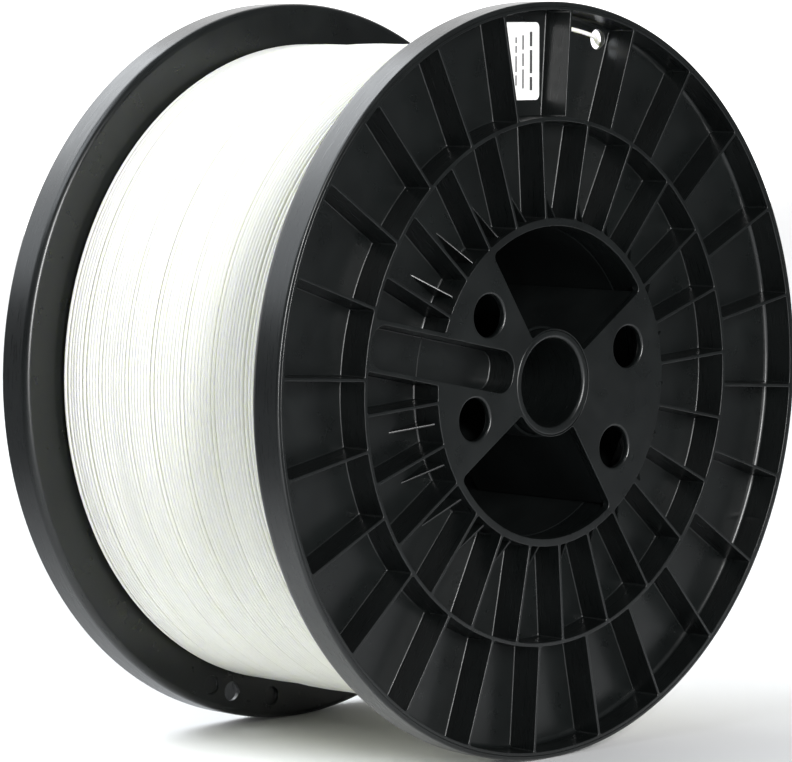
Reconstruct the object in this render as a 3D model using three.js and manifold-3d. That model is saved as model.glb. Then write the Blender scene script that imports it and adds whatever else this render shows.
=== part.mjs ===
// A large two-flange filament spool, wound with 1.75 mm filament, standing on its rims.
// Millimetres, +Z up. The spool's axis runs along Y at rim height, and the front flange faces -Y.
// A flange is drawn with its outer plane at y = 0, depth growing along +Y towards the winding,
// and the finger slot pointing along -X. Angles run from +X towards +Z.

import * as THREE from 'three';
import { mergeVertices } from 'three/addons/utils/BufferGeometryUtils.js';
import Module from 'manifold-3d';

const wasm = await Module();
wasm.setup();

// Overall sizes
const FLANGE_R = 150;
const SPOOL_W = 159;
const FACETS = 72;
const GAP = 0.3;

// Rim
const RIM_WALL = 3.2;
const NOSE_LAND = 0.6;
const NOSE_DEPTH = 2.2;
const RIM_BAND = 11.6;
const RIM_EDGE_IN = 1.2;

// Plate, rings and ribs
const PLATE_DEPTH = 12.8;
const PLATE_T = 2.2;
const FLANGE_T = PLATE_DEPTH + PLATE_T;
const MID_RING_R = 104;
const MID_RING_T = 2;
const RIB_T = 1.7;
const RIB_COUNT = 24;
const ROOT = 0.7;
const GUSSET_T = 1.3;
const GUSSET_TOP = 2.6;
const GUSSET_RUN = 15.5;

// Hub
const BARREL_R = 65;
const BARREL_WALL = 3;
const HUB_R = BARREL_R - BARREL_WALL;
const DISC_T = 3.3;
const BORE_R = 17.6;
const TUBE_WALL = 3.2;
const TUBE_R = BORE_R + TUBE_WALL;
const SOCKET_WALL = 2.9;
const SOCKET_START = 7;
const SOCKET_END = 20;
const WINDOW_SPREAD = THREE.MathUtils.degToRad(90);
const WEB_T = 2;
const WEB_END = 40;
const DRIVE_HOLE_R = 8.4;
const DRIVE_PITCH_R = 46;
const DRIVE_SPREAD = THREE.MathUtils.degToRad(26.3);

// Finger slot
const SLOT_HALF_W = 8.4;
const SLOT_CORNER_R = 7;
const SLOT_WALL = 1.8;
const SLOT_HUB_GAP = 2.6;

// Filament, its tail and the label
const TAIL_HOLE_R = 4;
const TAIL_HOLE_INSET = 9.2;
const TAIL_HOLE_ANGLE = THREE.MathUtils.degToRad(85.1);
const WINDING_R = 133.6;
const FILAMENT_D = 1.75;
const LABEL_W = 20;
const LABEL_H = 30.6;
const LABEL_T = 0.3;
const LABEL_CORNER_R = 2;
const LABEL_RIGHT = 4.5;
const LABEL_INSET = 23.4;

// How far each flange is turned about the axis
const FRONT_TURN = THREE.MathUtils.degToRad(-11.4);
const REAR_TURN = THREE.MathUtils.degToRad(-21.4);

const FACET_ANGLE = (2 * Math.PI) / FACETS;

const RIB_ANGLE = (2 * Math.PI) / RIB_COUNT;
const INNER_FACE = SPOOL_W / 2 - FLANGE_T;

function solid(geometry) {
  geometry.deleteAttribute('normal');
  geometry.deleteAttribute('uv');
  const merged = mergeVertices(geometry, 1e-4);
  return new wasm.Manifold(new wasm.Mesh({
    numProp: 3,
    vertProperties: new Float32Array(merged.attributes.position.array),
    triVerts: new Uint32Array(merged.index.array),
  }));
}

function named(name, body, look) {
  const { numProp, vertProperties, triVerts } = body.getMesh();
  const geometry = new THREE.BufferGeometry();
  geometry.setAttribute('position', new THREE.BufferAttribute(new Float32Array(vertProperties), numProp));
  geometry.setIndex(new THREE.BufferAttribute(new Uint32Array(triVerts), 1));
  const mesh = new THREE.Mesh(geometry, look);
  mesh.name = name;
  return mesh;
}

// A body of revolution about Y from a closed [radius, depth] outline. Its facets touch the true
// circle from outside, and phase turns them.
function revolved(outline, phase) {
  const grow = 1 / Math.cos(FACET_ANGLE / 2);
  const points = outline.map(([r, y]) => new THREE.Vector2(r * grow, y));
  if (THREE.ShapeUtils.area(points) < 0) {
    points.reverse();
  }
  points.push(points[0].clone());
  return solid(new THREE.LatheGeometry(points, FACETS, FACET_ANGLE / 2 + phase));
}

function tube(inner, outer, start, end, phase = 0) {
  return revolved([[inner, start], [outer, start], [outer, end], [inner, end]], phase);
}

// A flat outline in X and Z, given depth along Y.
function slab(shape, start, end) {
  const geometry = new THREE.ExtrudeGeometry(shape, {
    depth: end - start,
    bevelEnabled: false,
    curveSegments: 6,
  });
  return solid(geometry.rotateX(-Math.PI / 2).translate(0, start, 0));
}

// A solid disc about Y, faceted like a tube.
function plug(radius, start, end, phase) {
  const grown = radius / Math.cos(FACET_ANGLE / 2);
  const first = FACET_ANGLE / 2 + phase;
  const geometry = new THREE.CylinderGeometry(grown, grown, end - start, FACETS, 1, false, first);
  return solid(geometry.translate(0, (start + end) / 2, 0));
}

function roundedRect(left, right, halfHeight, radius) {
  const shape = new THREE.Shape();
  const quarter = Math.PI / 2;
  const x = right - radius;
  const x0 = left + radius;
  const y = halfHeight - radius;
  shape.absarc(x, y, radius, 0, quarter, false);
  shape.absarc(x0, y, radius, quarter, 2 * quarter, false);
  shape.absarc(x0, -y, radius, 2 * quarter, 3 * quarter, false);
  shape.absarc(x, -y, radius, 3 * quarter, 4 * quarter, false);
  return shape;
}

function block(x0, x1, y0, y1, z0, z1) {
  const geometry = new THREE.BoxGeometry(x1 - x0, y1 - y0, z1 - z0);
  return solid(geometry.translate((x0 + x1) / 2, (y0 + y1) / 2, (z0 + z1) / 2));
}

function drill(radius, start, end, pitchR, angle, sides) {
  const geometry = new THREE.CylinderGeometry(radius, radius, end - start, sides);
  const x = pitchR * Math.cos(angle);
  const z = pitchR * Math.sin(angle);
  return solid(geometry.translate(x, (start + end) / 2, z));
}

const asEuler = (turn) => [0, -THREE.MathUtils.radToDeg(turn), 0];
const swung = (body, angle) => body.rotate(asEuler(angle));

function joined(bodies) {
  return bodies.reduce((whole, body) => whole.add(body));
}

function rimAndPlate(phase) {
  const inner = FLANGE_R - RIM_WALL;
  const nose = inner + NOSE_LAND;
  const noseRun = FLANGE_R - nose;
  const noseMiddle = [nose + noseRun * Math.SQRT1_2, NOSE_DEPTH * (1 - Math.SQRT1_2)];
  const edgeMiddle = [FLANGE_R - RIM_EDGE_IN / 4, (RIM_BAND + FLANGE_T) / 2];
  return revolved([
    [HUB_R, PLATE_DEPTH],
    [inner, PLATE_DEPTH],
    [inner, 0],
    [nose, 0],
    noseMiddle,
    [FLANGE_R, NOSE_DEPTH],
    [FLANGE_R, RIM_BAND],
    edgeMiddle,
    [FLANGE_R - RIM_EDGE_IN, FLANGE_T],
    [HUB_R, FLANGE_T],
  ], phase);
}

// Two sectors are left between the windows.
function hubDisc(phase) {
  const disc = tube(TUBE_R + GAP, HUB_R - GAP, 0, DISC_T, phase);
  const reach = HUB_R / Math.cos(WINDOW_SPREAD / 2);
  const wedge = new THREE.Shape();
  wedge.moveTo(0, 0);
  wedge.lineTo(reach * Math.sin(WINDOW_SPREAD / 2), reach * Math.cos(WINDOW_SPREAD / 2));
  wedge.lineTo(-reach * Math.sin(WINDOW_SPREAD / 2), reach * Math.cos(WINDOW_SPREAD / 2));
  const opening = slab(wedge, -1, DISC_T + 1);
  return disc.subtract(opening).subtract(opening.rotate([0, 180, 0]));
}

// Four webs under the window edges join the disc to the tube's socket and centre the barrel.
function hubWebs() {
  const start = TUBE_R + GAP + SOCKET_WALL / 2;
  const web = (low) => block(start, HUB_R - GAP, DISC_T - ROOT, WEB_END, low, low + WEB_T);
  const edge = Math.PI / 2 - WINDOW_SPREAD / 2;
  return joined([
    swung(web(-WEB_T), edge),
    swung(web(0), -edge),
    swung(web(-WEB_T), Math.PI + edge),
    swung(web(0), Math.PI - edge),
  ]);
}

// The slot runs from the middle ring, through the hub ring, to beside the bore.
function slotOutline(grow) {
  const left = -(MID_RING_R - MID_RING_T / 2);
  const right = -(TUBE_R + SLOT_HUB_GAP);
  return roundedRect(left - grow, right + grow, SLOT_HALF_W + grow, SLOT_CORNER_R + grow);
}

function outerRibs() {
  const from = MID_RING_R;
  const to = FLANGE_R - RIM_WALL + NOSE_LAND / 2;
  const rib = block(from, to, 0, PLATE_DEPTH + ROOT, -RIB_T / 2, RIB_T / 2);
  const angles = Array.from({ length: RIB_COUNT }, (_, k) => (k + 0.5) * RIB_ANGLE);
  return joined(angles.map((angle) => swung(rib, angle)));
}

// One position of the inner ring of ribs is taken by the slot.
function innerRibs() {
  const rib = block(BARREL_R - ROOT, MID_RING_R, 0, PLATE_DEPTH + ROOT, -RIB_T / 2, RIB_T / 2);
  const positions = Array.from({ length: RIB_COUNT }, (_, k) => k);
  const angles = positions.filter((k) => k !== RIB_COUNT / 2).map((k) => k * RIB_ANGLE);
  return joined(angles.map((angle) => swung(rib, angle)));
}

// Triangular fins brace the hub ring in the middle of each inner cell, but not beside the slot.
function gussets() {
  const fin = new THREE.Shape();
  fin.moveTo(BARREL_R - ROOT, GUSSET_TOP);
  fin.lineTo(BARREL_R + GUSSET_RUN, PLATE_DEPTH);
  fin.lineTo(BARREL_R + GUSSET_RUN, PLATE_DEPTH + ROOT);
  fin.lineTo(BARREL_R - ROOT, PLATE_DEPTH + ROOT);
  const geometry = new THREE.ExtrudeGeometry(fin, { depth: GUSSET_T, bevelEnabled: false });
  const one = solid(geometry.translate(0, 0, -GUSSET_T / 2));
  const positions = Array.from({ length: RIB_COUNT }, (_, k) => k + 0.5);
  const besideSlot = (k) => Math.abs(k - RIB_COUNT / 2) < 1;
  const angles = positions.filter((k) => !besideSlot(k)).map((k) => k * RIB_ANGLE);
  return joined(angles.map((angle) => swung(one, angle)));
}

function slotPocket() {
  return slab(slotOutline(SLOT_WALL), 0, FLANGE_T).subtract(slab(slotOutline(0), -1, PLATE_DEPTH));
}

function hub(phase) {
  const room = plug(HUB_R - GAP, -1, FLANGE_T + 1, phase);
  const socket = tube(TUBE_R + GAP, TUBE_R + GAP + SOCKET_WALL, SOCKET_START, SOCKET_END, phase);
  const body = joined([hubDisc(phase), hubWebs(), socket]);
  const open = body.subtract(slab(slotOutline(0), -1, PLATE_DEPTH)).add(slotPocket().intersect(room));
  const angles = [DRIVE_SPREAD, -DRIVE_SPREAD, Math.PI - DRIVE_SPREAD, Math.PI + DRIVE_SPREAD];
  const holes = angles.map((angle) => drill(DRIVE_HOLE_R, -1, DISC_T + 1, DRIVE_PITCH_R, angle, 24));
  return holes.reduce((whole, hole) => whole.subtract(hole), open);
}

function flange(phase) {
  const midRing = [MID_RING_R - MID_RING_T / 2, MID_RING_R + MID_RING_T / 2];
  const body = joined([
    rimAndPlate(phase),
    tube(...midRing, 0, PLATE_DEPTH + ROOT, phase),
    tube(HUB_R, BARREL_R, 0, FLANGE_T, phase),
    outerRibs(),
    innerRibs(),
    gussets(),
    slotPocket().subtract(plug(HUB_R, -1, FLANGE_T + 1, phase)),
  ]);
  const tailPitchR = FLANGE_R - TAIL_HOLE_INSET;
  const tailHole = drill(TAIL_HOLE_R, PLATE_DEPTH - 1, FLANGE_T + 1, tailPitchR, TAIL_HOLE_ANGLE, 16);
  return body.subtract(slab(slotOutline(0), -1, PLATE_DEPTH)).subtract(tailHole);
}

// The free end runs along the top layer, slants out through the tail hole and lies on the plate.
// Each point is an angle in degrees, a radius and a place along the spool's axis.
function tailRoute() {
  const route = [
    [50, 135.0, -62.3],
    [54, 135.1, -62.3],
    [58, 135.6, -62.3],
    [62, 137.0, -62.3],
    [65.5, 138.7, -62.3],
    [68.5, 139.9, -62.3],
    [70.6, 140.5, -62.35],
    [71.9, 140.8, -62.95],
    [72.9, 140.8, -64.3],
    [73.8, 140.8, -65.95],
    [74.8, 140.9, -67.3],
    [76.0, 141.0, -67.9],
    [78.0, 141.0, -68.0],
    [81.0, 141.0, -68.0],
    [84.2, 140.9, -68.0],
  ];
  const points = route.map(([angle, radius, y]) => {
    const a = THREE.MathUtils.degToRad(angle);
    return new THREE.Vector3(radius * Math.cos(a), y, radius * Math.sin(a));
  });
  return new THREE.CatmullRomCurve3(points, false, 'centripetal');
}

function tail() {
  const section = new THREE.Shape();
  section.absarc(0, 0, FILAMENT_D / 2, 0, 2 * Math.PI, false);
  return solid(new THREE.ExtrudeGeometry(section, {
    extrudePath: tailRoute(),
    steps: 32,
    curveSegments: 4,
    bevelEnabled: false,
  }));
}

function label() {
  const middle = FLANGE_R - LABEL_INSET;
  const shape = roundedRect(-LABEL_W / 2, LABEL_W / 2, LABEL_H / 2, LABEL_CORNER_R);
  const front = PLATE_DEPTH - GAP - LABEL_T;
  const sheet = slab(shape, front, front + LABEL_T);
  return sheet.translate([LABEL_RIGHT - LABEL_W / 2, -SPOOL_W / 2, middle]);
}

function winding() {
  return tube(BARREL_R + GAP, WINDING_R, -INNER_FACE + 2 * GAP, INNER_FACE - 2 * GAP);
}

function look(color, roughness, metalness = 0) {
  return new THREE.MeshStandardMaterial({ color, roughness, metalness });
}

const blackPlastic = () => look(0x17191a, 0.42);
const filamentWhite = () => look(0xecede4, 0.45);

const tubeEnd = SPOOL_W / 2;
const barrelEnd = INNER_FACE - GAP;
// Both ends are alike. Their facets are counter-turned, so that each flange stands on a flat of its
// rim however it is turned.
const atFront = (part) => swung(part(FRONT_TURN), FRONT_TURN).translate([0, -SPOOL_W / 2, 0]);
const atRear = (part) => {
  const facingRear = part(-REAR_TURN).rotate([180, 0, 0]);
  return swung(facingRear, REAR_TURN).translate([0, SPOOL_W / 2, 0]);
};

const spool = new THREE.Group();
spool.add(
  named('front_flange', atFront(flange), blackPlastic()),
  named('front_hub', atFront(hub), blackPlastic()),
  named('rear_flange', atRear(flange), blackPlastic()),
  named('rear_hub', atRear(hub), blackPlastic()),
  named('core_barrel', tube(HUB_R, BARREL_R, -barrelEnd, barrelEnd), blackPlastic()),
  named('centre_tube', tube(BORE_R, TUBE_R, -tubeEnd, tubeEnd), blackPlastic()),
  named('filament_winding', winding(), filamentWhite()),
  named('filament_tail', tail(), filamentWhite()),
  named('paper_label', label(), look(0xf2f2ef, 0.7)),
);
spool.position.z = FLANGE_R;

const standing = new THREE.Group();
standing.add(spool);

export default standing;
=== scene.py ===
"""Filament spool: visible pieces, materials, camera and light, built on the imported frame.

Shapes are worked out in millimetres and scaled to metres when a mesh is made. A flange is drawn
with its outer plane at y = 0, depth growing along +Y towards the winding, and the finger slot
pointing along -X. Angles run from +X towards +Z.
"""
import math
import random

import bmesh
import bpy
from mathutils import Matrix, Vector


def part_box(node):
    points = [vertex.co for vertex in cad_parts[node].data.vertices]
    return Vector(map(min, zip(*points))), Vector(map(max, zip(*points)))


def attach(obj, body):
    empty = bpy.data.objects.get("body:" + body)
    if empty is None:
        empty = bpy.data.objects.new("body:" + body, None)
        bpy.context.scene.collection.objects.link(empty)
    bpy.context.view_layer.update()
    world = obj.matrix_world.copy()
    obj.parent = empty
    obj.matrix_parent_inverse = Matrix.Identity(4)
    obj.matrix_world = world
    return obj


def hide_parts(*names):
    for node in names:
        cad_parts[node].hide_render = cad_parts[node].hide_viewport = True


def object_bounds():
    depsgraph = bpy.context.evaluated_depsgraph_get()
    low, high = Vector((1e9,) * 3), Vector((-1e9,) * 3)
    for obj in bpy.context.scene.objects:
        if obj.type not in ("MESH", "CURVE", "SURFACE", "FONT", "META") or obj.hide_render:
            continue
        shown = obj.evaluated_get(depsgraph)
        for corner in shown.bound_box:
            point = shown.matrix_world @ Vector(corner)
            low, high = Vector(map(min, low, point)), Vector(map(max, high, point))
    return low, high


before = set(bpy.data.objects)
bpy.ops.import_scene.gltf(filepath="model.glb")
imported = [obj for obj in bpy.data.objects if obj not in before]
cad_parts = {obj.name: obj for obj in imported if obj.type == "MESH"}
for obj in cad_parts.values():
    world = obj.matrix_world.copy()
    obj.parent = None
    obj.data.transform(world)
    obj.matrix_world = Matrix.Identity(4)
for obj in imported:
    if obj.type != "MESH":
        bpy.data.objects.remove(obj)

CAD_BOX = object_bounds()
MM = 0.001


def in_mm(node):
    """A node's lowest and highest corners, in millimetres."""
    return [Vector(corner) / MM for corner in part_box(node)]


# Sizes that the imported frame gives
CAD_LOW, CAD_HIGH = (Vector(corner) / MM for corner in CAD_BOX)
FLANGE_R = (CAD_HIGH.z - CAD_LOW.z) / 2
SPOOL_W = CAD_HIGH.y - CAD_LOW.y
AXIS_Z = (CAD_HIGH.z + CAD_LOW.z) / 2
FLANGE_LOW, FLANGE_HIGH = in_mm("front_flange")
FLANGE_T = FLANGE_HIGH.y - FLANGE_LOW.y
BARREL_LOW, BARREL_HIGH = in_mm("core_barrel")
BARREL_R = (BARREL_HIGH.x - BARREL_LOW.x) / 2
TUBE_R = in_mm("centre_tube")[1].x
WINDING_LOW, WINDING_HIGH = in_mm("filament_winding")
WINDING_R = WINDING_HIGH.x
LABEL_LOW, LABEL_HIGH = in_mm("paper_label")

# Flange
SEGMENTS = 360
DETAIL_SEGMENTS = 144
OVERLAP = 1
PLATE_DEPTH = 12.8
RIM_WALL = 3.2
NOSE_DEPTH = 1.3
NOSE_RUN = 1.0
LAND_STEP_R = FLANGE_R - 1.75
LAND_STEP = 0.4
LAND_EDGE = [(0.05, 0.08), (0.12, 0)]  # (out from the step, depth)
RIM_BAND = 11.6
RIM_EDGE_IN = 2.9
MID_RING_R = 104
MID_RING_T = 1.6
RIB_T = 1.25
RIB_COUNT = 24
CELL_CORNER = 0.95
SMALLEST_CORNER = 0.3
CORNER_STEPS = 5
RING_STEPS = 16
EDGE_ROUND = 0.3
WALL_DRAFT = 0.22
BASE_FILLET = 0.6
RIM_FILLET = 2.3
HUB_FILLET = 1.3
FILLET_LIP = 0.01
GUSSET_T = 1.0
GUSSET_TOP = 2.6
GUSSET_RUN = 15.5
GUSSET_ROOT = 0.7

# A gusset's top, across its thickness: (place as a share of the thickness, drop)
GUSSET_SECTION = [
    (-0.5, 0.4),
    (-0.42, 0.16),
    (-0.28, 0.03),
    (-0.1, 0),
    (0.1, 0),
    (0.28, 0.03),
    (0.42, 0.16),
    (0.5, 0.4),
]

# Hub
BARREL_WALL = 3
BARREL_OVERLAP = 0.2
BARREL_ROUNDS = (0.3, 0.3)  # (inner, outer)
TUBE_ROUNDS = (1.5, 0.7)
HUB_R = BARREL_R - BARREL_WALL
CORE_GAP = 0.3
DISC_T = 3.3
DISC_FILLET = 1
BORE_R = 17.6
TUBE_GAP = 0.1
TUBE_COLLAR_EDGE = 0.15
SOCKET_GAP = 0.3
SOCKET_WALL = 1.0
SOCKET_START = 7
SOCKET_END = 20
SOCKET_CHAMFER = 0.4
WINDOW_SPREAD = math.radians(90)
WINDOW_CORNER = 2.6
WINDOW_INNER_CORNER = 1.3
COLLAR_WALL = 0.5
WEB_T = 2
WEB_INSET = 0.15
WEB_CORE_GAP = 0.2
WEB_NOSE_RUN = 0.6
WEB_END = 74
WEB_CHAMFER = 0.5
WEB_END_ROUND = (0.4, 0.1)  # from the web's end to each level of its chamfer
WEB_ROOT = 0.7
DRIVE_HOLE_R = 8.4
DRIVE_HOLE_ROUND = 1.1
DRIVE_HOLE_STEPS = 72
DRIVE_PITCH_R = 46
DRIVE_SPREAD = math.radians(26.3)

# Finger slot and tail holes
SLOT_HALF_W = 8.4
SLOT_CORNER_R = 7
SLOT_CORNER_STEPS = 10
SLOT_WALL = 1.8
SLOT_HUB_GAP = 2.6
SLOT_WALL_TOP = 0.6
SLOT_WALL_CHAMFER = 0.4
RIDGE_HEIGHT = 0.3
RIDGE_WIDTH = 0.9
RIDGE_IN = 1.2
TAIL_HOLE_R = 4
TAIL_HOLE_ROUND = 0.4
TAIL_PITCH_R = FLANGE_R - 9.2
TAIL_HOLE_ANGLE = math.radians(85.1)
DIMPLE_ANGLES = [math.radians(75.8), math.radians(90)]
DIMPLE_DEPTH = 1.3
DIMPLE_ROUND = 0.3

# Dents that the mould's pins leave, each as (pitch radius, angle, depth of the face it is in)
PIN_MARK_R = 2.0
PIN_MARK_DEPTH = 0.12
PIN_MARK_STEPS = 32
PIN_MARKS = [
    (30.5, 0.0, 0.0),
    (55, 0.0, 0.0),
    (56.5, 0.42, 0.0),
    (56.5, -0.42, 0.0),
    (92, math.pi, PLATE_DEPTH),
    (52, math.pi, PLATE_DEPTH),
]

# How far each flange is turned about the axis
FRONT_TURN = math.radians(-11.4)
REAR_TURN = math.radians(-21.4)

# Filament
FILAMENT_D = 1.75
TURN_STEPS = 144
STRAND_SIDES = 8
WINDING_SEED = 11
WINDING_MARGIN = 0.1
WANDER_MARGIN = 1
FIRST_WIDE_GAP = 5
TURNS_BETWEEN_WIDE_GAPS = (5, 10)
NARROW_GAP = (0.0, 0.03)
WIDE_GAP = (0.6, 1.15)
WANDER = (0.5, 0.7)
WANDER_DRIFT = 9
WANDER_JITTER = 0.5
SWELLS = [(0.2, 5.1, 0), (0.15, 2.3, 1)]  # (height, turns per radian, phase)
SWELL_DROP = 0.36
TURN_SINK = 0.12
CREST_DROP = 0.02
UNDER_LAYER_DROP = 0.87 * FILAMENT_D + 0.9
UNDER_RIDGE = 0.5
UNDER_RIDGE_STEPS = 5
LEAD_IN_ANGLE = 36
LEAD_IN_DEPTH = 3
LEAD_IN_STEPS = 24
LEAD_IN_THINNER = 0.01
TAIL_ROUND_STEPS = 5

# Camera, round the middle of the spool
CAMERA_AZIMUTH = math.radians(-45.11)
CAMERA_ELEVATION = math.radians(4.83)
CAMERA_DISTANCE = 1.65437
CAMERA_RIGHT = -0.00578
CAMERA_UP = -0.00405
CAMERA_LENS = 183.94
SENSOR_WIDTH = 36

# Studio
FLOOR_REACH = 8
BACKDROP_Y = 3.4
BACKDROP_X = (-1.5, 9)
BACKDROP_TOP = 5
BACKDROP_GLOW = 1.8
FILL_GLOW = 0.17
FILL_COLOUR = (0.94, 0.97, 1, 1)
FLOOR_PALE = (0.9, 0.9, 0.9, 1)
# The grey below is painted shade: the floor darkens to it as if the studio's light fell off.
FLOOR_PAINTED_SHADE = (0.14, 0.14, 0.142, 1)
COOL = (0.9, 0.95, 1)
WHITE = (1, 1, 1)

# Where painted shade darkens the floor, as if the studio's light fell off there: (direction, start, end)
FLOOR_FRONT_RIGHT = ((0.894, -1.106, 0), 0.3, 1.0)
FLOOR_REAR_LEFT = ((-1.106, 0.894, 0), 0.27, 0.65)

# Soft boxes: (name, place, size, glow, colour)
LIGHTS = [
    ("left", (-1.9, 2.5, 2.1), (2.4, 2.2), 2.3, COOL),
    ("behind", (0.1, 2.3, 2.6), (1.9, 1.9), 3.6, COOL),
    ("overhead", (-1.8, 0.6, 2.9), (1.9, 1.9), 5.5, COOL),
    ("key", (-0.95, -2.75, 0.9), (0.5, 1.7), 44, WHITE),
]

# Colours of the object, as each material's darkest and lightest tone
BLACK_TONES = ((0.0030, 0.0038, 0.0038, 1), (0.0054, 0.0067, 0.0066, 1))
DUST_COLOUR = (0.09, 0.095, 0.095, 1)
FILAMENT_TONES = ((0.89, 0.895, 0.765, 1), (0.93, 0.935, 0.81, 1))
PAPER_TONES = ((0.86, 0.86, 0.85, 1), (0.93, 0.93, 0.92, 1))
INK_TONES = ((0.02, 0.02, 0.02, 1), (0.1, 0.1, 0.1, 1))

# The two finishes of the black plastic: the roughness at its dullest and glossiest, and the shine
SATIN_GLOSS = (0.37, 0.23)
SATIN_SHINE = 0.5
MATT_GLOSS = (0.85, 0.7)
MATT_SHINE = 0.06

# The colour sockets of a mix node
MIX_FIRST = 6
MIX_SECOND = 7
MIX_RESULT = 2

# Label, with plain bars in place of print: (place across, width, [(start, end) of each bar])
LABEL_CORNER_R = 2
LABEL_CORNER_STEPS = 6
LABEL_EDGE = [(0.05, 0.02), (0, 0.06)]  # (inset, depth)
BAR_CORNER_R = 0.25
BAR_PROUD = 0.02
BAR_BURIED = 0.05
BAR_ROWS = [
    (5.2, 1.5, [(-11.5, -6.2), (-4.8, 4.4), (5.8, 11.6)]),
    (0.6, 0.9, [(-10.8, -3.2), (-2.0, 3.1), (4.4, 10.2)]),
    (-3.4, 0.8, [(-9.6, -5.5), (-4.4, 2.0), (3.2, 6.0), (7.0, 9.4)]),
]

# The free end of the filament: angle in degrees, radius, and place along the axis
TAIL_ROUTE = [
    (50, 135.0, -62.3),
    (54, 135.1, -62.3),
    (58, 135.6, -62.3),
    (62, 137.0, -62.3),
    (65.5, 138.7, -62.3),
    (68.5, 139.9, -62.3),
    (70.6, 140.5, -62.35),
    (71.9, 140.8, -62.95),
    (72.9, 140.8, -64.3),
    (73.8, 140.8, -65.95),
    (74.8, 140.9, -67.3),
    (76.0, 141.0, -67.9),
    (78.0, 141.0, -68.0),
    (81.0, 141.0, -68.0),
    (84.2, 140.9, -68.0),
]


# --- Meshes ---------------------------------------------------------------------------------------

def at(radius, angle, y):
    """A point given by its radius and angle about Y."""
    return (radius * math.cos(angle), y, radius * math.sin(angle))


def lathe(profile, segments=SEGMENTS):
    """A closed profile of (radius, y) points, turned about Y."""
    count = len(profile)
    vertices = [at(r, 2 * math.pi * s / segments, y) for s in range(segments) for r, y in profile]
    faces = []
    for s in range(segments):
        here = s * count
        there = (s + 1) % segments * count
        for i in range(count):
            j = (i + 1) % count
            faces.append((here + i, here + j, there + j, there + i))
    return vertices, faces


def stacked(layers):
    """A closed body through rings of points, with flat ends."""
    count = len(layers[0])
    vertices = [point for layer in layers for point in layer]
    last = len(vertices) - count
    faces = [tuple(range(count)), tuple(range(last, last + count))]
    for k in range(len(layers) - 1):
        for i in range(count):
            j = (i + 1) % count
            low = k * count
            high = low + count
            faces.append((low + i, low + j, high + j, high + i))
    return vertices, faces


def pocket(outline, levels):
    """A body whose outline, a function of the inset, changes with depth."""
    return stacked([[(x, y, z) for x, z in outline(inset)] for inset, y in levels])


def swung(part, angle):
    """A part turned about Y, from +X towards +Z."""
    vertices, faces = part
    turn = Matrix.Rotation(-angle, 3, "Y")
    return [turn @ Vector(v) for v in vertices], faces


def built(name, parts):
    """One object from many (vertices, faces) parts, in millimetres about the spool's middle."""
    vertices = []
    faces = []
    for part_vertices, part_faces in parts:
        start = len(vertices)
        vertices += [Vector(v) * MM for v in part_vertices]
        faces += [tuple(start + i for i in face) for face in part_faces]
    mesh = bpy.data.meshes.new(name)
    mesh.from_pydata(vertices, [], faces)
    outward(mesh)
    made = bpy.data.objects.new(name, mesh)
    bpy.context.scene.collection.objects.link(made)
    return made


def outward(mesh):
    """Turns every face to look outwards."""
    work = bmesh.new()
    work.from_mesh(mesh)
    bmesh.ops.recalc_face_normals(work, faces=work.faces)
    work.to_mesh(mesh)
    work.free()


def settle(piece):
    """Applies the piece's modifiers."""
    graph = bpy.context.evaluated_depsgraph_get()
    old = piece.data
    made = bpy.data.meshes.new_from_object(piece.evaluated_get(graph))
    piece.modifiers.clear()
    piece.data = made
    bpy.data.meshes.remove(old)


def combined(body, parts, operation):
    """Joins the parts to the body, or cuts them out of it."""
    tool = built("tool", parts)
    modifier = body.modifiers.new("combine", "BOOLEAN")
    modifier.operation = operation
    modifier.solver = "MANIFOLD"
    modifier.object = tool
    settle(body)
    bpy.data.objects.remove(tool)


def smoothed(piece, degrees=32):
    """Smooth shading that stays flat where the shape is flat, and keeps its sharp edges."""
    piece.data.shade_smooth()
    piece.data.set_sharp_from_angle(angle=math.radians(degrees))
    weighted = piece.modifiers.new("weighted", "WEIGHTED_NORMAL")
    weighted.keep_sharp = True
    settle(piece)


def placed(piece, matrix):
    """Moves the mesh from the spool's middle to its place above the floor."""
    piece.data.transform(Matrix.Translation((0, 0, AXIS_Z * MM)) @ matrix)
    piece.data.update()


# --- Outlines, as functions of the inset -----------------------------------------------------------

def arc(centre, radius, start, end, steps):
    """Points from one direction to another, the short way round."""
    first = math.atan2(start[1], start[0])
    sweep = math.atan2(end[1], end[0]) - first
    sweep = (sweep + math.pi) % (2 * math.pi) - math.pi
    angles = [first + sweep * i / steps for i in range(steps + 1)]
    return [(centre[0] + radius * math.cos(a), centre[1] + radius * math.sin(a)) for a in angles]


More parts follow.
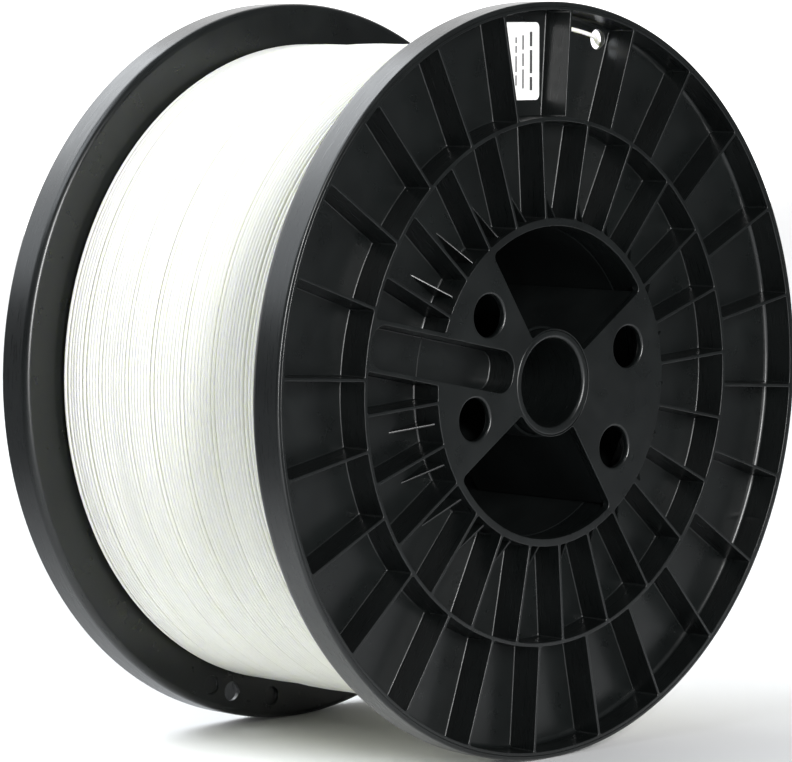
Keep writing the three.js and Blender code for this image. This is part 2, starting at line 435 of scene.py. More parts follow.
def cell_outline(low, high, radii, corners, inset):
    """A cell between two radial walls, each (angle, offset into the cell), and two rings."""
    r_in = radii[0] + inset
    r_out = radii[1] - inset
    sides = []
    for (angle, offset), way in ((low, 1), (high, -1)):
        along = Vector((math.cos(angle), math.sin(angle)))
        into = Vector((-along.y, along.x)) * way
        sides.append((along, into, offset + inset))
    corner_in = max(corners[0] - inset, SMALLEST_CORNER)
    corner_out = max(corners[1] - inset, SMALLEST_CORNER)

    def corner(side, radius, ring):
        along, into, offset = side
        away = offset + radius
        return along * math.sqrt(ring * ring - away * away) + into * away

    inner_low = corner(sides[0], corner_in, r_in + corner_in)
    outer_low = corner(sides[0], corner_out, r_out - corner_out)
    outer_high = corner(sides[1], corner_out, r_out - corner_out)
    inner_high = corner(sides[1], corner_in, r_in + corner_in)
    to_low, to_high = (-into for _, into, _ in sides)
    points = arc(inner_low, corner_in, -inner_low, to_low, CORNER_STEPS)
    points += arc(outer_low, corner_out, to_low, outer_low, CORNER_STEPS)
    points += arc((0, 0), r_out, outer_low, outer_high, RING_STEPS)[1:-1]
    points += arc(outer_high, corner_out, outer_high, to_high, CORNER_STEPS)
    points += arc(inner_high, corner_in, to_high, -inner_high, CORNER_STEPS)
    points += arc((0, 0), r_in, inner_high, inner_low, RING_STEPS)[1:-1]
    return points


def slot_outline(inset):
    """The finger slot, from beside the bore tube to the middle ring."""
    left = -(MID_RING_R - MID_RING_T / 2) + inset
    right = -(TUBE_R + SLOT_HUB_GAP) - inset
    half = SLOT_HALF_W - inset
    radius = SLOT_CORNER_R - inset
    x0, x1, z1 = left + radius, right - radius, half - radius
    east, north, west, south = (1, 0), (0, 1), (-1, 0), (0, -1)
    points = arc((x1, z1), radius, east, north, SLOT_CORNER_STEPS)
    points += arc((x0, z1), radius, north, west, SLOT_CORNER_STEPS)
    points += arc((x0, -z1), radius, west, south, SLOT_CORNER_STEPS)
    points += arc((x1, -z1), radius, south, east, SLOT_CORNER_STEPS)
    return points


def hole_outline(radius, pitch, angle, steps=48):
    """A round hole whose centre is given by its pitch radius and angle."""
    x = pitch * math.cos(angle)
    z = pitch * math.sin(angle)
    turns = [2 * math.pi * i / steps for i in range(steps)]

    def outline(inset):
        r = radius - inset
        return [(x + r * math.cos(t), z + r * math.sin(t)) for t in turns]
    return outline


# --- Depth levels, as (inset, y) pairs --------------------------------------------------------------

def mouth(radius, y=0.0, steps=4):
    """A rounded edge at a pocket's mouth, from above the surface down to the wall."""
    turns = [math.pi / 2 * i / steps for i in range(steps + 1)]
    rounded = [(radius * math.sin(t) - radius, y + radius - radius * math.cos(t)) for t in turns]
    return [(-radius, y - OVERLAP), *rounded]


def floor_levels(depth, fillet, draft=0.0, steps=5):
    """A concave fillet from the wall to the floor."""
    turns = [math.pi / 2 * i / steps for i in range(steps + 1)]
    return [
        (draft + fillet - fillet * math.cos(t), depth - fillet + fillet * math.sin(t)) for t in turns
    ]


def through(top, bottom, radius):
    """A hole through a wall, with both edges rounded."""
    lower = [(inset, top + bottom - y) for inset, y in reversed(mouth(radius, top))]
    return mouth(radius, top) + lower


# --- The flange's parts -----------------------------------------------------------------------------

def flange_profile():
    """The solid that the cells are sunk into: rim, plate, hub ring and hub disc."""
    quarter = [math.pi / 2 * i / 10 for i in range(11)]
    land = [(LAND_STEP_R - LAND_STEP + LAND_STEP * math.sin(t), LAND_STEP * (1 - math.cos(t)))
            for t in quarter[::2]]
    land += [(LAND_STEP_R + out, y) for out, y in LAND_EDGE]
    nose_r = FLANGE_R - NOSE_RUN
    nose = [(nose_r + NOSE_RUN * math.sin(t), NOSE_DEPTH * (1 - math.cos(t))) for t in quarter]
    edge_r = FLANGE_R - RIM_EDGE_IN
    edge_y = FLANGE_T - RIM_BAND
    edge = [(edge_r + RIM_EDGE_IN * math.cos(t), RIM_BAND + edge_y * math.sin(t)) for t in quarter]
    hub_wall = HUB_R + CORE_GAP
    inside = [(hub_wall - DISC_FILLET * (1 - math.sin(t)), DISC_T + DISC_FILLET * (1 - math.cos(t)))
              for t in quarter[::2]]
    mouth_edge = [(hub_wall + EDGE_ROUND, FLANGE_T), (hub_wall, FLANGE_T - EDGE_ROUND)]
    disc_r = TUBE_R + TUBE_GAP
    collar = [(disc_r, DISC_T), (disc_r, TUBE_COLLAR_EDGE), (disc_r + TUBE_COLLAR_EDGE, 0)]
    return [*land, *nose, *edge, *mouth_edge, *reversed(inside), *collar]


def wall_levels():
    """A pocket as deep as the plate: rounded mouth, drafted wall and a fillet at its floor."""
    return mouth(EDGE_ROUND) + floor_levels(PLATE_DEPTH, BASE_FILLET, WALL_DRAFT)


def outer_cells():
    """The cells between the middle ring and the rim."""
    step = 2 * math.pi / RIB_COUNT
    radii = (MID_RING_R + MID_RING_T / 2, FLANGE_R - RIM_WALL)
    corners = (CELL_CORNER, CELL_CORNER)

    def cell(k):
        low = ((k - 0.5) * step, RIB_T / 2)
        high = ((k + 0.5) * step, RIB_T / 2)
        return pocket(lambda inset: cell_outline(low, high, radii, corners, inset), wall_levels())
    return [cell(k) for k in range(RIB_COUNT)]


def inner_cells():
    """The cells between the hub and the middle ring. The slot's walls bound the two beside it."""
    step = 2 * math.pi / RIB_COUNT
    radii = (BARREL_R, MID_RING_R - MID_RING_T / 2)
    corners = (CELL_CORNER, CELL_CORNER)
    middle = RIB_COUNT // 2
    slot_side = SLOT_HALF_W + SLOT_WALL

    def cell(k):
        low = (k * step, slot_side if k == middle else RIB_T / 2)
        high = ((k + 1) * step, slot_side if k + 1 == middle else RIB_T / 2)
        return pocket(lambda inset: cell_outline(low, high, radii, corners, inset), wall_levels())
    return [cell(k) for k in range(RIB_COUNT)]


def fillet_ring(wall_r, way, radius):
    """A concave fillet all round, between the plate and a wall that stands at wall_r."""
    quarter = [math.pi / 2 * i / 8 for i in range(9)]
    face = [(wall_r + way * radius * (1 - math.sin(t)), PLATE_DEPTH - radius * (1 - math.cos(t)))
            for t in quarter]
    behind = wall_r - way * OVERLAP
    below = PLATE_DEPTH + OVERLAP
    top = face[-1][1] - FILLET_LIP
    return lathe([*face, (wall_r, top), (behind, top), (behind, below), (face[0][0], below)])


def gusset():
    """A triangular fin with a rounded sloping top, lying along +X."""
    foot = PLATE_DEPTH + GUSSET_ROOT
    start = BARREL_R - GUSSET_ROOT
    end = BARREL_R + GUSSET_RUN
    layers = []
    for place, drop in GUSSET_SECTION:
        z = place * GUSSET_T
        layers.append([(start, GUSSET_TOP + drop, z), (end - drop, PLATE_DEPTH + drop / 2, z),
                       (end - drop, foot, z), (start, foot, z)])
    return stacked(layers)


def gussets():
    """A gusset in the middle of each inner cell, apart from the two beside the slot."""
    step = 2 * math.pi / RIB_COUNT
    beside_slot = (RIB_COUNT // 2 - 1, RIB_COUNT // 2)
    places = [k for k in range(RIB_COUNT) if k not in beside_slot]
    return [swung(gusset(), (k + 0.5) * step) for k in places]


def web(side):
    """A plate under one window edge, to the given side of it."""
    start = TUBE_R + SOCKET_GAP + SOCKET_WALL / 2
    end = HUB_R - WEB_CORE_GAP
    nose = end - WEB_NOSE_RUN
    low, high = sorted((WEB_INSET * side, (WEB_INSET + WEB_T) * side))
    top = DISC_T - WEB_ROOT
    corners = [(start, low), (nose, low), (end, low + WEB_CHAMFER), (end, high - WEB_CHAMFER),
               (nose, high), (start, high)]
    before, nearly = WEB_END_ROUND
    levels = [(0, top), (0, WEB_END - before), (WEB_CHAMFER / 2, WEB_END - nearly),
              (WEB_CHAMFER, WEB_END)]
    layers = []
    for inset, y in levels:
        layers.append([(x - inset if x > start else x, y, z + math.copysign(inset, (low + high) / 2 - z))
                       for x, z in corners])
    return stacked(layers)


def webs():
    """One web under each of the four straight window edges."""
    edge = math.pi / 2 - WINDOW_SPREAD / 2
    return [swung(web(-1), edge), swung(web(1), -edge), swung(web(-1), math.pi + edge),
            swung(web(1), math.pi - edge)]


def socket():
    """The sleeve round the tube, with both outer edges chamfered."""
    inner = TUBE_R + SOCKET_GAP
    outer = inner + SOCKET_WALL
    shoulder = outer - SOCKET_CHAMFER
    start = [(inner, SOCKET_START), (shoulder, SOCKET_START), (outer, SOCKET_START + SOCKET_CHAMFER)]
    end = [(outer, SOCKET_END - SOCKET_CHAMFER), (shoulder, SOCKET_END), (inner, SOCKET_END)]
    return lathe(start + end, DETAIL_SEGMENTS)


def slot_walls():
    """The block that the slot's cavity is cut out of."""
    levels = [(0, SLOT_WALL_TOP), (0, FLANGE_T - SLOT_WALL_CHAMFER), (SLOT_WALL_CHAMFER, FLANGE_T)]
    return pocket(lambda inset: slot_outline(inset - SLOT_WALL), levels)


def slot_ridge():
    """A low ridge across the slot's floor, over the winding core's wall; buried everywhere else."""
    crest = PLATE_DEPTH - RIDGE_HEIGHT
    low = BARREL_R - RIDGE_IN
    high = low + RIDGE_WIDTH
    chamfer = RIDGE_WIDTH / 3
    below = PLATE_DEPTH + RIDGE_HEIGHT
    return lathe([(low, below), (low, crest + chamfer), (low + chamfer, crest), (high - chamfer, crest),
                  (high, crest + chamfer), (high, below)])


def slot_cavity():
    """The finger slot, as deep as the plate."""
    return pocket(slot_outline, wall_levels())


def windows():
    """The two large openings through the hub disc."""
    radii = (TUBE_R + TUBE_GAP + COLLAR_WALL, HUB_R)
    corners = (WINDOW_INNER_CORNER, WINDOW_CORNER)
    half = WINDOW_SPREAD / 2

    def window(middle):
        low = (middle - half, 0)
        high = (middle + half, 0)
        levels = through(0, DISC_T, EDGE_ROUND)
        return pocket(lambda inset: cell_outline(low, high, radii, corners, inset), levels)
    return [window(math.pi / 2), window(-math.pi / 2)]


def drive_holes():
    """The four round holes through the hub disc."""
    angles = [DRIVE_SPREAD, -DRIVE_SPREAD, math.pi - DRIVE_SPREAD, math.pi + DRIVE_SPREAD]
    levels = through(0, DISC_T, DRIVE_HOLE_ROUND)
    return [pocket(hole_outline(DRIVE_HOLE_R, DRIVE_PITCH_R, angle, DRIVE_HOLE_STEPS), levels)
            for angle in angles]


def tail_hole():
    """The hole through the plate that the filament's free end comes out of."""
    outline = hole_outline(TAIL_HOLE_R, TAIL_PITCH_R, TAIL_HOLE_ANGLE)
    return pocket(outline, through(PLATE_DEPTH, FLANGE_T, TAIL_HOLE_ROUND))


def dimples():
    """Blind holes in the inner face, beside the tail hole."""
    floor = FLANGE_T - DIMPLE_DEPTH
    lip = DIMPLE_ROUND / 3
    levels = [(-DIMPLE_ROUND, FLANGE_T + OVERLAP), (-DIMPLE_ROUND, FLANGE_T), (-lip, FLANGE_T - lip),
              (0, FLANGE_T - DIMPLE_ROUND), (lip, floor + DIMPLE_ROUND), (lip + DIMPLE_ROUND, floor)]
    return [pocket(hole_outline(TAIL_HOLE_R, TAIL_PITCH_R, angle), levels) for angle in DIMPLE_ANGLES]


def ejector_marks():
    """Shallow round dents that the mould's pins leave in the disc and the slot's floor."""
    marks = []
    for pitch, angle, y in PIN_MARKS:
        levels = [(0, y - OVERLAP), (0, y + PIN_MARK_DEPTH * 2 / 3),
                  (PIN_MARK_DEPTH, y + PIN_MARK_DEPTH)]
        marks.append(pocket(hole_outline(PIN_MARK_R, pitch, angle, PIN_MARK_STEPS), levels))
    return marks


def flange(name):
    """The whole moulding, apart from what stands behind the hub disc."""
    body = built(name, [lathe(flange_profile())])
    combined(body, [slot_walls()], "UNION")
    combined(body, outer_cells() + inner_cells(), "DIFFERENCE")
    combined(body, [fillet_ring(FLANGE_R - RIM_WALL, -1, RIM_FILLET)], "UNION")
    combined(body, [fillet_ring(BARREL_R, 1, HUB_FILLET)], "UNION")
    combined(body, gussets(), "UNION")
    combined(body, [slot_cavity(), tail_hole(), *windows(), *drive_holes(), *dimples()], "DIFFERENCE")
    combined(body, ejector_marks(), "DIFFERENCE")
    combined(body, [slot_ridge()], "UNION")
    smoothed(body)
    return body


def hub_inside(name):
    """The webs and the tube's socket, behind the hub disc."""
    body = built(name, [socket()])
    combined(body, webs(), "UNION")
    smoothed(body)
    return body


# --- Core ---------------------------------------------------------------------------------------------

def rounded_tube(inner, outer, half, rounds):
    """A tube along Y whose ends are rounded, by one radius inside and another outside."""
    inner_round, outer_round = rounds
    quarter = [math.pi / 2 * i / 6 for i in range(7)]
    end = [(outer - outer_round + outer_round * math.cos(t), half - outer_round + outer_round * math.sin(t))
           for t in quarter]
    end += [(inner + inner_round - inner_round * math.sin(t), half - inner_round + inner_round * math.cos(t))
            for t in quarter]
    start = [(r, -y) for r, y in reversed(end)]
    return lathe(end + start)


# --- Filament -----------------------------------------------------------------------------------------

def swept(path, radius, sides):
    """A closed round strand along a path of points."""
    layers = []
    for i, point in enumerate(path):
        before = path[max(i - 1, 0)]
        after = path[min(i + 1, len(path) - 1)]
        along = (after - before).normalized()
        out = Vector((point.x, 0, point.z)).normalized()
        across = along.cross(out).normalized()
        out = across.cross(along)
        turns = [2 * math.pi * k / sides for k in range(sides)]
        layers.append([point + out * radius * math.cos(t) + across * radius * math.sin(t) for t in turns])
    return stacked(layers)


def turn_places(rng):
    """Where each turn of the top layer starts along the axis, with a wide gap every few turns."""
    half = WINDING_HIGH.y - FILAMENT_D / 2 - WINDING_MARGIN
    places = [-half]
    until_gap = FIRST_WIDE_GAP
    while places[-1] < half:
        gap = rng.uniform(*NARROW_GAP)
        until_gap -= 1
        if until_gap == 0:
            gap = rng.uniform(*WIDE_GAP)
            until_gap = rng.randint(*TURNS_BETWEEN_WIDE_GAPS)
        places.append(places[-1] + FILAMENT_D + gap)
    spare = places[-1] - half
    count = len(places) - 1
    return [place - spare * k / count for k, place in enumerate(places)]


def top_layer(rng):
    """The visible turns: one strand, whose turns wander a little and lie a little high or low."""
    places = turn_places(rng)
    waves = [(k / WANDER_DRIFT + rng.uniform(0, WANDER_JITTER), rng.uniform(*WANDER))
             for k in range(len(places))]
    swells = [sum(height * math.sin(k / run + phase) for height, run, phase in SWELLS) - SWELL_DROP
              for k in range(len(places))]
    lifts = [swell - rng.uniform(0.0, TURN_SINK) for swell in swells]
    path = []
    for k in range(len(places) - 1):
        for s in range(TURN_STEPS):
            share = s / TURN_STEPS
            ease = share * share * (3 - 2 * share)
            y = places[k] + (places[k + 1] - places[k]) * ease
            phase, size = waves[k]
            next_phase, next_size = waves[k + 1]
            angle = 2 * math.pi * share
            here = size * math.sin(angle + phase)
            there = next_size * math.sin(angle + next_phase)
            y += here + (there - here) * ease
            lift = lifts[k] + (lifts[k + 1] - lifts[k]) * ease
            radius = WINDING_R - FILAMENT_D / 2 - CREST_DROP + lift
            y = max(min(y, WINDING_HIGH.y - WANDER_MARGIN), WINDING_LOW.y + WANDER_MARGIN)
            path.append(Vector(at(radius, angle, y)))
    return path


def lead_in():
    """The strand that rises out of the winding to where the free end begins."""
    angle, radius, y = TAIL_ROUTE[0]
    path = []
    for i in range(LEAD_IN_STEPS + 1):
        share = i / LEAD_IN_STEPS
        sunk = LEAD_IN_DEPTH * (1 - share) ** 2
        path.append(Vector(at(radius - sunk, math.radians(angle - LEAD_IN_ANGLE * (1 - share)), y)))
    return path


def under_layers():
    """The turns seen through the gaps, as a ridged drum."""
    pitch = FILAMENT_D
    half = WINDING_HIGH.y
    crest = WINDING_R - UNDER_LAYER_DROP
    count = int(2 * half / pitch)
    inner = BARREL_R + CORE_GAP
    profile = [(inner, half), (inner, -half)]
    start = -count * pitch / 2
    for k in range(count):
        for i in range(UNDER_RIDGE_STEPS):
            t = math.pi * i / UNDER_RIDGE_STEPS
            y = start + (k + i / UNDER_RIDGE_STEPS) * pitch
            profile.append((crest - UNDER_RIDGE * (1 - math.sin(t)), y))
    return lathe(profile, DETAIL_SEGMENTS)


# --- Label --------------------------------------------------------------------------------------------

def rounded_rectangle(width, height, radius):
    def outline(inset):
        x = width / 2 - radius
        z = height / 2 - radius
        r = radius - inset
        east, north, west, south = (1, 0), (0, 1), (-1, 0), (0, -1)
        points = arc((x, z), r, east, north, LABEL_CORNER_STEPS)
        points += arc((-x, z), r, north, west, LABEL_CORNER_STEPS)
        points += arc((-x, -z), r, west, south, LABEL_CORNER_STEPS)
        points += arc((x, -z), r, south, east, LABEL_CORNER_STEPS)
        return points
    return outline


def label_bars():
    """The bars in place of print, about the label's middle."""
    parts = []
    for across, width, spans in BAR_ROWS:
        for low, high in spans:
            outline = rounded_rectangle(width, high - low, BAR_CORNER_R)
            vertices, faces = pocket(outline, [(0, -BAR_PROUD), (0, BAR_BURIED)])
            middle = (low + high) / 2
            parts.append(([(x + across, y, z + middle) for x, y, z in vertices], faces))
    return parts


# --- Materials ----------------------------------------------------------------------------------------

def material(name):
    made = bpy.data.materials.new(name)
    made.use_nodes = True
    return made, made.node_tree.nodes, made.node_tree.links


def coordinates(nodes):
    return nodes.new("ShaderNodeTexCoord").outputs["Object"]


def noise(nodes, links, place, scale, detail=3.0, roughness=0.5):
    made = nodes.new("ShaderNodeTexNoise")
    made.inputs["Scale"].default_value = scale
    made.inputs["Detail"].default_value = detail
    made.inputs["Roughness"].default_value = roughness
    links.new(place, made.inputs["Vector"])
    return made.outputs["Fac"]


def mapped(nodes, links, value, low, high, new_low, new_high):
    made = nodes.new("ShaderNodeMapRange")
    made.inputs["From Min"].default_value = low
    made.inputs["From Max"].default_value = high
    made.inputs["To Min"].default_value = new_low
    made.inputs["To Max"].default_value = new_high
    links.new(value, made.inputs["Value"])
    return made.outputs["Result"]


def blended(nodes, links, factor, first, second):
    """Goes from the first colour to the second. The first may be another node's output."""
    made = nodes.new("ShaderNodeMix")
    made.data_type = "RGBA"
    links.new(factor, made.inputs["Factor"])
    if isinstance(first, bpy.types.NodeSocket):
        links.new(first, made.inputs[MIX_FIRST])
    else:
        made.inputs[MIX_FIRST].default_value = first
    made.inputs[MIX_SECOND].default_value = second
    return made.outputs[MIX_RESULT]


def toned(nodes, links, pattern, low, high, tones):
    """Goes from one tone to the other where a pattern goes from low to high."""
    return blended(nodes, links, mapped(nodes, links, pattern, low, high, 0, 1), *tones)


def bumped(nodes, links, height, distance, strength, normal=None):
    made = nodes.new("ShaderNodeBump")
    made.inputs["Distance"].default_value = distance
    made.inputs["Strength"].default_value = strength
    links.new(height, made.inputs["Height"])
    if normal:
        links.new(normal, made.inputs["Normal"])
    return made.outputs["Normal"]


def stretched(nodes, links, place, scale):
    made = nodes.new("ShaderNodeMapping")
    made.inputs["Scale"].default_value = scale
    links.new(place, made.inputs["Vector"])
    return made.outputs["Vector"]


def black_plastic(name, gloss, shine):
    """Black: fine moulded grain, cloudy flow marks, light scuffs and a little dust."""
    made, nodes, links = material(name)
    shader = nodes["Principled BSDF"]
    place = coordinates(nodes)
    clouds = noise(nodes, links, place, scale=45, detail=4)
    base = toned(nodes, links, clouds, 0.35, 0.7, BLACK_TONES)
    specks = noise(nodes, links, place, scale=900, detail=2)
    dust = mapped(nodes, links, specks, 0.72, 0.8, 0, 0.25)
    links.new(blended(nodes, links, dust, base, DUST_COLOUR), shader.inputs["Base Color"])
    lines = stretched(nodes, links, place, (25, 600, 25))
    scuffs = noise(nodes, links, lines, scale=3, detail=4, roughness=0.6)
    links.new(mapped(nodes, links, scuffs, 0.3, 0.75, *gloss), shader.inputs["Roughness"])
    grain = noise(nodes, links, place, scale=2600, detail=3, roughness=0.6)
    ripple = noise(nodes, links, place, scale=160, detail=2)
    normal = bumped(nodes, links, grain, distance=0.00001, strength=0.5)
    normal = bumped(nodes, links, ripple, distance=0.00004, strength=0.35, normal=normal)
    links.new(normal, shader.inputs["Normal"])
    shader.inputs["Specular IOR Level"].default_value = shine
    shader.inputs["IOR"].default_value = 1.5
    return made


def filament_plastic():
    """Warm white extruded plastic: faint tone changes along it, fine die lines and a soft gloss."""
    made, nodes, links = material("filament_plastic")
    shader = nodes["Principled BSDF"]
    place = coordinates(nodes)
    along = noise(nodes, links, stretched(nodes, links, place, (12, 160, 12)), scale=2, detail=4)
    links.new(toned(nodes, links, along, 0.3, 0.7, FILAMENT_TONES), shader.inputs["Base Color"])
    fine = noise(nodes, links, stretched(nodes, links, place, (60, 900, 60)), scale=4, detail=3)
    links.new(mapped(nodes, links, fine, 0.3, 0.7, 0.34, 0.5), shader.inputs["Roughness"])
    links.new(bumped(nodes, links, fine, distance=0.00002, strength=0.3), shader.inputs["Normal"])
    shader.inputs["Subsurface Weight"].default_value = 0.6
    shader.inputs["Subsurface Radius"].default_value = (0.0028, 0.003, 0.0018)
    shader.inputs["Subsurface Scale"].default_value = 1.0
    return made


def label_sheet():
    """Coated off-white paper with a faint fibre."""
    made, nodes, links = material("label_sheet")
    shader = nodes["Principled BSDF"]
    place = coordinates(nodes)
    fibre = noise(nodes, links, place, scale=1800, detail=5, roughness=0.7)
    links.new(toned(nodes, links, fibre, 0.35, 0.65, PAPER_TONES), shader.inputs["Base Color"])
    links.new(mapped(nodes, links, fibre, 0.3, 0.7, 0.45, 0.6), shader.inputs["Roughness"])
    links.new(bumped(nodes, links, fibre, distance=0.00001, strength=0.4), shader.inputs["Normal"])
    return made


def label_ink():
    """Dark grey print, thinner in places."""
    made, nodes, links = material("label_ink")
    shader = nodes["Principled BSDF"]
    cover = noise(nodes, links, coordinates(nodes), scale=2500, detail=2)
    links.new(toned(nodes, links, cover, 0.35, 0.7, INK_TONES), shader.inputs["Base Color"])
    shader.inputs["Roughness"].default_value = 0.55
    return made


def faded(nodes, links, place, direction, start, end):
    """0 up to the start and 1 past the end, measured along a direction."""
    along = nodes.new("ShaderNodeVectorMath")
    along.operation = "DOT_PRODUCT"
    along.inputs[1].default_value = direction
    links.new(place, along.inputs[0])
    return mapped(nodes, links, along.outputs["Value"], start, end, 0, 1)


def floor_with_painted_shade():
    """Pale paint round the spool, with painted shade that darkens it to grey on its front right and rear
    left, as if the studio's light fell off there.
    """
    made, nodes, links = material("floor_with_painted_shade")
    shader = nodes["Principled BSDF"]
    place = coordinates(nodes)
    painted_shade = nodes.new("ShaderNodeMath")
    painted_shade.operation = "MAXIMUM"
    links.new(faded(nodes, links, place, *FLOOR_FRONT_RIGHT), painted_shade.inputs[0])
    links.new(faded(nodes, links, place, *FLOOR_REAR_LEFT), painted_shade.inputs[1])
    # Painted shade: the floor's colour goes to grey where the studio's light would fall off.
    base = blended(nodes, links, painted_shade.outputs["Value"], FLOOR_PALE, FLOOR_PAINTED_SHADE)
    links.new(base, shader.inputs["Base Color"])
    shader.inputs["Roughness"].default_value = 0.8
    return made


# --- Scene ----------------------------------------------------------------------------------------------

def camera_axes():
    flat = math.cos(CAMERA_ELEVATION)
    right = Vector((math.cos(CAMERA_AZIMUTH), math.sin(CAMERA_AZIMUTH), 0))
    back = Vector((math.sin(CAMERA_AZIMUTH) * flat, -math.cos(CAMERA_AZIMUTH) * flat,
                   math.sin(CAMERA_ELEVATION)))
    return right, back.cross(right), back


def make_camera():
    right, up, back = camera_axes()
    data = bpy.data.cameras.new("camera")
    data.sensor_fit = "HORIZONTAL"
    data.sensor_width = SENSOR_WIDTH
    data.lens = CAMERA_LENS
    camera = bpy.data.objects.new("camera", data)
    middle = Vector((0, 0, AXIS_Z * MM))
    spot = middle + right * CAMERA_RIGHT + up * CAMERA_UP + back * CAMERA_DISTANCE
    axes = Matrix((right, up, back)).transposed()
    camera.matrix_world = Matrix.Translation(spot) @ axes.to_4x4()
    bpy.context.scene.collection.objects.link(camera)
    bpy.context.scene.camera = camera


def smooth_route(points, steps=6):
    """A centripetal Catmull-Rom curve through the points."""
    first = points[0] * 2 - points[1]
    last = points[-1] * 2 - points[-2]
    padded = [first, *points, last]
    route = []
    for p0, p1, p2, p3 in zip(padded, padded[1:], padded[2:], padded[3:]):
        t1 = (p1 - p0).length ** 0.5
        t2 = t1 + (p2 - p1).length ** 0.5
        t3 = t2 + (p3 - p2).length ** 0.5
        for i in range(steps):
            t = t1 + (t2 - t1) * i / steps
            a1 = p0 * ((t1 - t) / t1) + p1 * (t / t1)
            a2 = p1 * ((t2 - t) / (t2 - t1)) + p2 * ((t - t1) / (t2 - t1))
            a3 = p2 * ((t3 - t) / (t3 - t2)) + p3 * ((t - t2) / (t3 - t2))
            b1 = a1 * ((t2 - t) / t2) + a2 * (t / t2)
            b2 = a2 * ((t3 - t) / (t3 - t1)) + a3 * ((t - t1) / (t3 - t1))
            route.append(b1 * ((t2 - t) / (t2 - t1)) + b2 * ((t - t1) / (t2 - t1)))
    return [*route, points[-1]]


def tail_points():
    middle = Vector((0, 0, AXIS_Z * MM))
    return [Vector(at(radius, math.radians(angle), y)) * MM + middle for angle, radius, y in TAIL_ROUTE]


def make_tail(look):
    route = smooth_route(tail_points())
    data = bpy.data.curves.new("filament_free_end", "CURVE")
    data.dimensions = "3D"
    data.bevel_depth = FILAMENT_D / 2 * MM
    data.bevel_resolution = TAIL_ROUND_STEPS
    data.use_fill_caps = True
    line = data.splines.new("POLY")
    line.points.add(len(route) - 1)
    for point, spot in zip(line.points, route):
        point.co = (*spot, 1)
    line.use_smooth = True
    tail = bpy.data.objects.new("filament_free_end", data)
    bpy.context.scene.collection.objects.link(tail)
    data.materials.append(look)
    rides(tail, "filament", "filament_tail")


def painted(piece, look):
    piece.data.materials.clear()
    piece.data.materials.append(look)
    piece.data.polygons.foreach_set("material_index", [0] * len(piece.data.polygons))


def rides(piece, slot, *nodes):
    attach(piece, "root")
    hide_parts(*nodes)


def make_flanges(satin, matt):
    """The same moulding twice, the rear one turned to face the other way."""
    front = Matrix.Translation((0, -SPOOL_W / 2 * MM, 0)) @ Matrix.Rotation(-FRONT_TURN, 4, "Y")
    facing = Matrix.Rotation(-REAR_TURN, 4, "Y") @ Matrix.Rotation(math.pi, 4, "X")
    rear = Matrix.Translation((0, SPOOL_W / 2 * MM, 0)) @ facing
    for side, matrix in (("front", front), ("rear", rear)):
        moulding = flange(f"{side}_flange_moulding")
        placed(moulding, matrix)
        painted(moulding, satin)
        rides(moulding, "flange_plastic", f"{side}_flange", f"{side}_hub")
        inside = hub_inside(f"{side}_hub_inside")
        placed(inside, matrix)
        painted(inside, matt)
        rides(inside, "flange_plastic", f"{side}_hub")


def make_core(satin, matt):
    """The barrel under the winding, which reaches into both flanges, and the tube of the bore."""
    barrel_half = (BARREL_HIGH.y - BARREL_LOW.y) / 2 + BARREL_OVERLAP
    barrel = built("winding_core", [rounded_tube(HUB_R, BARREL_R, barrel_half, BARREL_ROUNDS)])
    tube = built("bore_tube", [rounded_tube(BORE_R, TUBE_R, SPOOL_W / 2, TUBE_ROUNDS)])
    for piece, node, look in ((barrel, "core_barrel", matt), (tube, "centre_tube", satin)):
        smoothed(piece)
        placed(piece, Matrix.Identity(4))
        painted(piece, look)
        rides(piece, "core_plastic", node)


def make_winding(look):
    """The top layer, with the strand that leads to the free end, and the layers under it as a drum."""
    rng = random.Random(WINDING_SEED)
    turns = swept(top_layer(rng), FILAMENT_D / 2, STRAND_SIDES)
    rising = swept(lead_in(), FILAMENT_D / 2 - LEAD_IN_THINNER, 2 * STRAND_SIDES)
    strand = built("filament_top_layer", [turns, rising])
    drum = built("filament_lower_layers", [under_layers()])
    for piece in (strand, drum):
        piece.data.shade_smooth()
        placed(piece, Matrix.Identity(4))
        painted(piece, look)
        rides(piece, "filament", "filament_winding")


def make_label(paper, ink):
    width = LABEL_HIGH.x - LABEL_LOW.x
    height = LABEL_HIGH.z - LABEL_LOW.z
    thick = LABEL_HIGH.y - LABEL_LOW.y
    outline = rounded_rectangle(width, height, LABEL_CORNER_R)
    label = built("paper_sticker", [pocket(outline, [*LABEL_EDGE, (0, thick)])])
    bars = built("sticker_bars", label_bars())
    middle = (LABEL_LOW + LABEL_HIGH) / 2
    spot = Matrix.Translation(Vector((middle.x, LABEL_LOW.y, middle.z - AXIS_Z)) * MM)
    for piece, look in ((label, paper), (bars, ink)):
        placed(piece, spot)
        painted(piece, look)
        rides(piece, "label_paper", "paper_label")


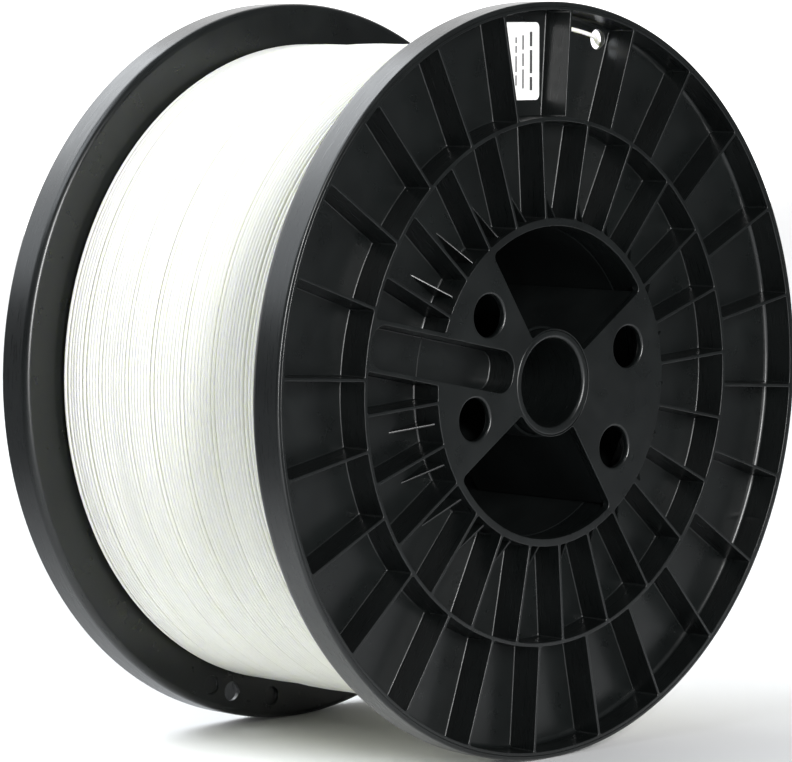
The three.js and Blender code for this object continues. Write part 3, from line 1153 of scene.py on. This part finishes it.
def sheet(name, corners, look):
    """A flat sheet of the studio, which isn't part of the object."""
    mesh = bpy.data.meshes.new(name)
    mesh.from_pydata(corners, [], [(0, 1, 2, 3)])
    mesh.materials.append(look)
    made = bpy.data.objects.new(name, mesh)
    bpy.context.scene.collection.objects.link(made)


def backdrop_glow():
    made, nodes, links = material("backdrop_glow")
    glow = nodes.new("ShaderNodeEmission")
    glow.inputs["Strength"].default_value = BACKDROP_GLOW
    links.new(glow.outputs["Emission"], nodes["Material Output"].inputs["Surface"])
    return made


def soft_light(name, spot, size, glow, colour):
    """A soft box that faces the spool. Glow is its brightness, whatever its size."""
    width, height = size
    data = bpy.data.lights.new(name, "AREA")
    data.shape = "RECTANGLE"
    data.size = width
    data.size_y = height
    data.energy = glow * math.pi * width * height
    data.color = colour
    light = bpy.data.objects.new(name, data)
    light.location = spot
    aim = Vector((0, 0, AXIS_Z * MM)) - Vector(spot)
    light.rotation_mode = "QUATERNION"
    light.rotation_quaternion = aim.to_track_quat("-Z", "Y")
    bpy.context.scene.collection.objects.link(light)


def make_studio():
    """A pale floor with painted shade on its front right and rear left, a bright backdrop behind the spool,
    and four soft boxes.
    """
    reach = FLOOR_REACH
    far = BACKDROP_Y
    sheet("floor", [(-reach, -reach, 0), (reach, -reach, 0), (reach, far, 0), (-reach, far, 0)],
          floor_with_painted_shade())
    left, right = BACKDROP_X
    top = BACKDROP_TOP
    sheet("backdrop", [(left, far, 0), (right, far, 0), (right, far, top), (left, far, top)],
          backdrop_glow())
    world = bpy.data.worlds.new("studio")
    world.use_nodes = True
    fill = world.node_tree.nodes["Background"]
    fill.inputs["Color"].default_value = FILL_COLOUR
    fill.inputs["Strength"].default_value = FILL_GLOW
    bpy.context.scene.world = world
    for settings in LIGHTS:
        soft_light(*settings)
    bpy.context.scene.view_settings.view_transform = "Standard"


make_camera()
filament = filament_plastic()
make_tail(filament)
satin_plastic = black_plastic("satin_plastic", SATIN_GLOSS, SATIN_SHINE)
matt_plastic = black_plastic("matt_plastic", MATT_GLOSS, MATT_SHINE)
make_flanges(satin_plastic, matt_plastic)
make_core(satin_plastic, matt_plastic)
make_winding(filament)
make_label(label_sheet(), label_ink())
make_studio()
